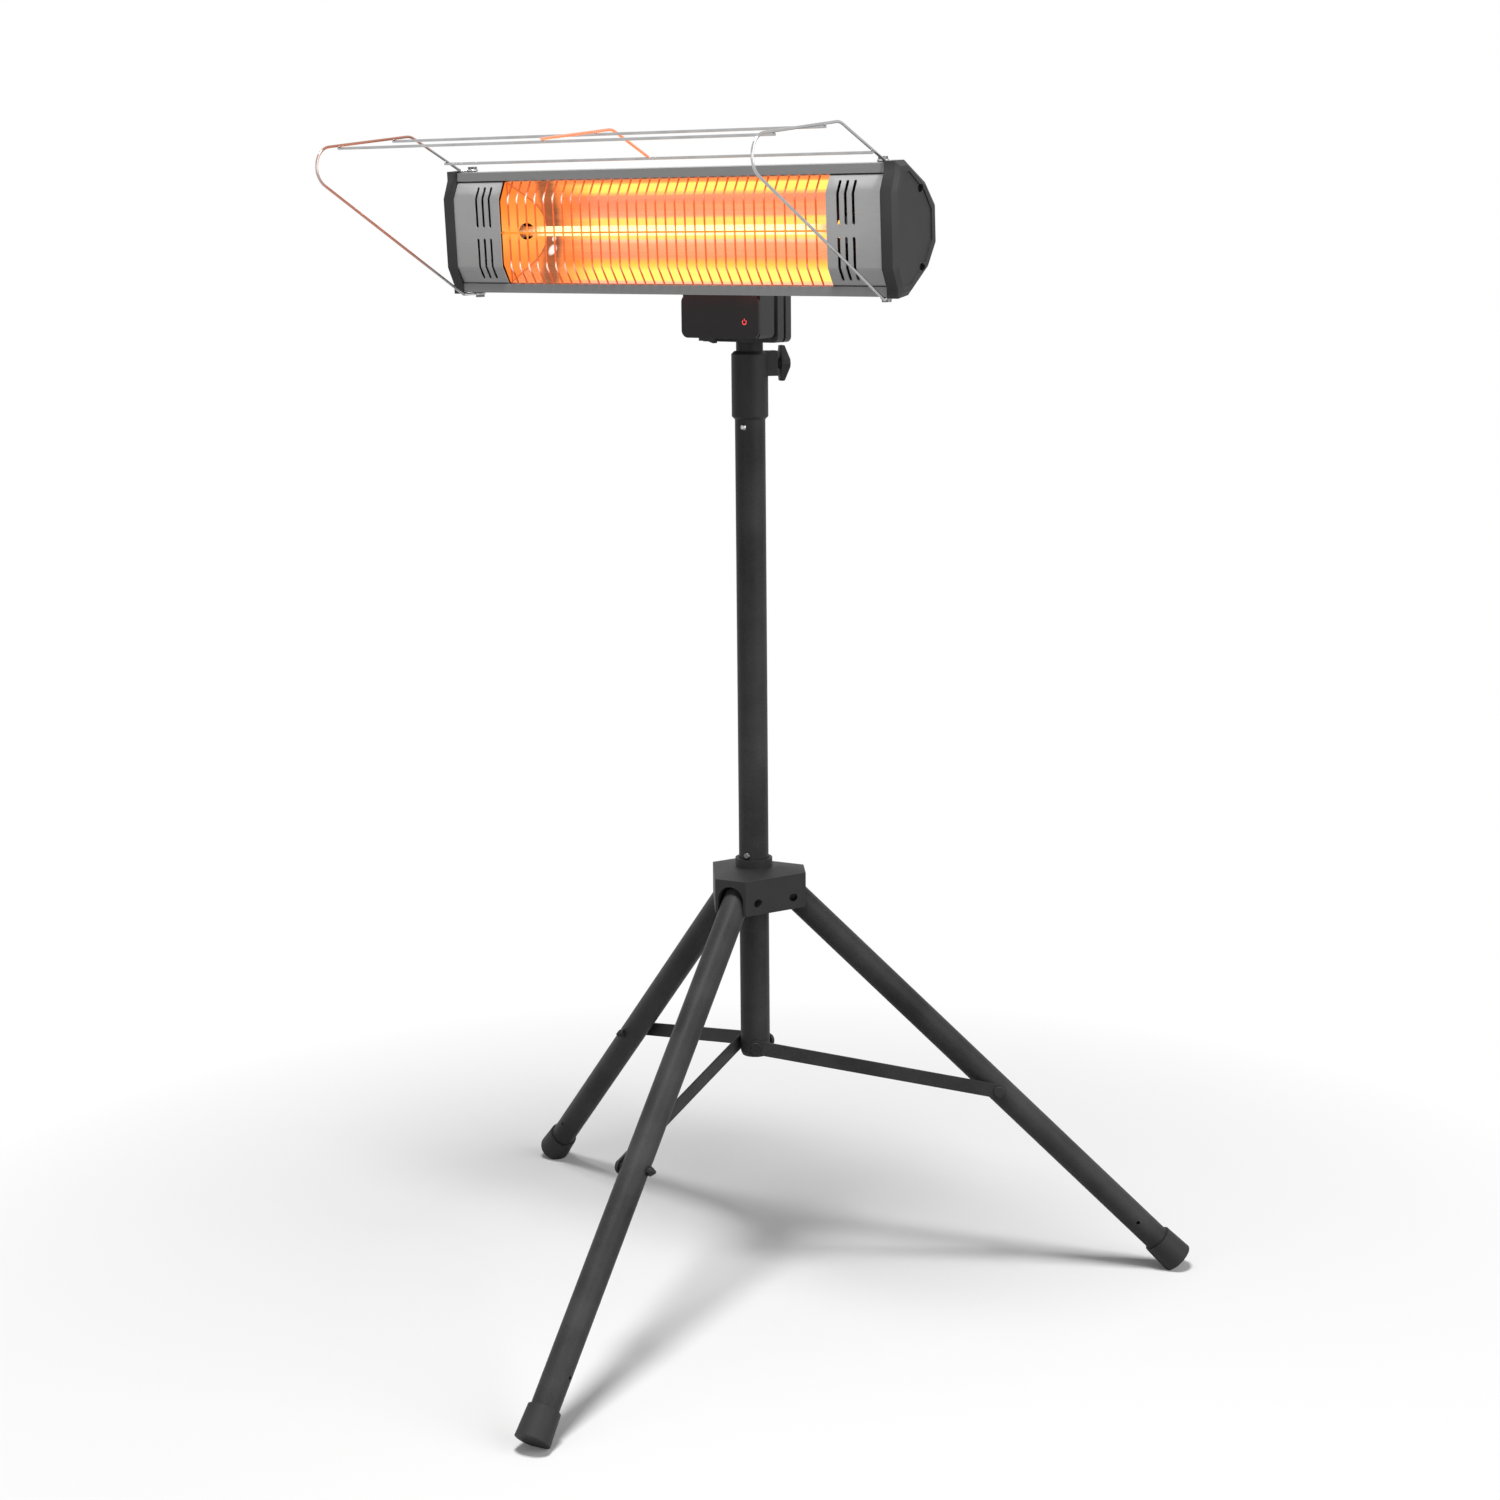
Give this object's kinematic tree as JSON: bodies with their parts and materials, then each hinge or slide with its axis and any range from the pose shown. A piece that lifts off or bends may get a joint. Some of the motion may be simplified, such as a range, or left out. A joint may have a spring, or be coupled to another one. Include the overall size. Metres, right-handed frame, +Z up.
{
  "type": "infrared heater",
  "caption": "Free-standing infrared quartz heater with a wire guard, on a telescoping mast with a folding tripod.",
  "frame": {"origin": "on the floor, under the axis of the mast", "axes": "+Z up along the mast, the heater faces -Y, +X is at the right of someone who faces it"},
  "size_m": [0.8387, 0.7939, 1.2467],
  "materials": {
    "charcoal_paint": "satin",
    "hub_plastic": "matte",
    "box_plastic": "satin",
    "panel_gloss": "gloss",
    "cap_plastic": "matte",
    "foot_rubber": "matte",
    "housing_grey": "satin",
    "vent_grey": "satin",
    "chrome_wire": "polished",
    "mirror_sheet": "polished",
    "quartz": "clear",
    "hot_wire": "glowing",
    "white_ceramic": "matte",
    "bright_steel": "satin",
    "black_steel": "satin",
    "red_lens": "gloss",
    "board_green": "satin",
    "inner_plastic": "matte"
  },
  "bodies": {
    "mast": {"mast_tube": "charcoal_paint", "mast_plug": "hub_plastic", "clamp_sleeve": "hub_plastic", "stop_screw": "bright_steel", "mast_brace_pins": "charcoal_paint"},
    "hub": {"hub": "hub_plastic", "hub_pins": "black_steel"},
    "lock_button": {"lock_button": "bright_steel"},
    "clamp_knob": {"clamp_knob": "hub_plastic"},
    "slider": {"guide_bush": "hub_plastic"},
    "pole": {"inner_tube": "charcoal_paint", "tube_plug": "hub_plastic", "control_box": "box_plastic", "front_panel": "panel_gloss", "power_light": "red_lens", "circuit_board": "board_green", "tip_switch": "inner_plastic", "box_rib": "box_plastic", "pole_socket": "box_plastic", "box_screws": "bright_steel", "cable_gland": "box_plastic", "rocker_bezel": "box_plastic", "tilt_yoke": "charcoal_paint", "yoke_bolt": "bright_steel", "tilt_bolt": "bright_steel", "tilt_nut": "bright_steel"},
    "rocker": {"rocker": "box_plastic"},
    "heater": {"housing": "housing_grey", "end_cap_left": "cap_plastic", "end_cap_right": "cap_plastic", "cap_screws": "black_steel", "vent_panel_left": "vent_grey", "vent_panel_right": "vent_grey", "front_grille": "chrome_wire", "reflector": "mirror_sheet", "reflector_ends": "mirror_sheet", "lamp_tube": "quartz", "filament": "hot_wire", "lamp_ceramics": "white_ceramic", "lamp_holders": "bright_steel", "thermal_cutout": "bright_steel", "terminal_block": "inner_plastic", "hinge_ears": "charcoal_paint", "guard_loop_left": "chrome_wire", "guard_loop_right": "chrome_wire", "guard_long_wires": "chrome_wire", "guard_rib": "chrome_wire", "guard_screws": "bright_steel"},
    "leg_a": {"leg_a": "charcoal_paint", "foot_a": "foot_rubber", "leg_bolt_a": "charcoal_paint"},
    "brace_a": {"brace_a": "charcoal_paint"},
    "leg_b": {"leg_b": "charcoal_paint", "foot_b": "foot_rubber", "leg_bolt_b": "charcoal_paint"},
    "brace_b": {"brace_b": "charcoal_paint"},
    "leg_c": {"leg_c": "charcoal_paint", "foot_c": "foot_rubber", "leg_bolt_c": "charcoal_paint"},
    "brace_c": {"brace_c": "charcoal_paint"}
  },
  "joints": [
    {"name": "leg_fold", "type": "slide", "parent": "mast", "child": "hub", "axis": [0, 0, 1], "range_m": [0, 0.41973]},
    {"name": "lock_press", "type": "slide", "parent": "mast", "child": "lock_button", "axis": [-0.1544, 0.988, 0], "range_m": [0, 0.0022], "stiffness_N_per_m": 900, "springref_m": -0.001},
    {"name": "clamp_turn", "type": "hinge", "parent": "mast", "child": "clamp_knob", "pos_m": [0, 0, 1.013], "axis": [0.6428, 0.766, 0], "range_deg": [0, 360]},
    {"name": "telescope", "type": "slide", "parent": "mast", "child": "slider", "axis": [0, 0, 1], "range_m": [0, 0.37]},
    {"name": "swivel", "type": "hinge", "parent": "slider", "child": "pole", "pos_m": [0, 0, 0.515], "axis": [0, 0, 1], "range_deg": [-180, 180]},
    {"name": "heater_tilt", "type": "hinge", "parent": "pole", "child": "heater", "pos_m": [0, -0.06609, 1.13288], "axis": [1, 0, 0], "range_deg": [-18, 30]},
    {"name": "switch_rock", "type": "hinge", "parent": "pole", "child": "rocker", "pos_m": [-0.02175, -0.038, 1.0423], "axis": [0, 1, 0], "range_deg": [-16, 0]},
    {"name": "leg_a_swing", "type": "hinge", "parent": "hub", "child": "leg_a", "pos_m": [0.00633, -0.04051, 0.4448], "axis": [0.988, 0.1544, 0], "range_deg": [0, 44.9]},
    {"name": "brace_a_swing", "type": "hinge", "parent": "mast", "child": "brace_a", "pos_m": [-0.01778, -0.00278, 0.2748], "axis": [-0.988, -0.1544, 0], "range_deg": [0, 93.36]},
    {"name": "leg_b_swing", "type": "hinge", "parent": "hub", "child": "leg_b", "pos_m": [0.03192, 0.02574, 0.4448], "axis": [-0.6277, 0.7785, 0], "range_deg": [0, 44.9]},
    {"name": "brace_b_swing", "type": "hinge", "parent": "mast", "child": "brace_b", "pos_m": [0.0113, -0.01401, 0.2748], "axis": [0.6277, -0.7785, 0], "range_deg": [0, 93.36]},
    {"name": "leg_c_swing", "type": "hinge", "parent": "hub", "child": "leg_c", "pos_m": [-0.03825, 0.01477, 0.4448], "axis": [-0.3603, -0.9328, 0], "range_deg": [0, 44.9]},
    {"name": "brace_c_swing", "type": "hinge", "parent": "mast", "child": "brace_c", "pos_m": [0.00649, 0.01679, 0.2748], "axis": [0.3603, 0.9328, 0], "range_deg": [0, 93.36]}
  ],
  "couplings": [
    {"joint": "leg_a_swing", "follows": "leg_fold", "rad_per_m": 1.867},
    {"joint": "brace_a_swing", "follows": "leg_fold", "rad_per_m": 3.8815},
    {"joint": "leg_b_swing", "follows": "leg_fold", "rad_per_m": 1.867},
    {"joint": "brace_b_swing", "follows": "leg_fold", "rad_per_m": 3.8815},
    {"joint": "leg_c_swing", "follows": "leg_fold", "rad_per_m": 1.867},
    {"joint": "brace_c_swing", "follows": "leg_fold", "rad_per_m": 3.8815}
  ]
}
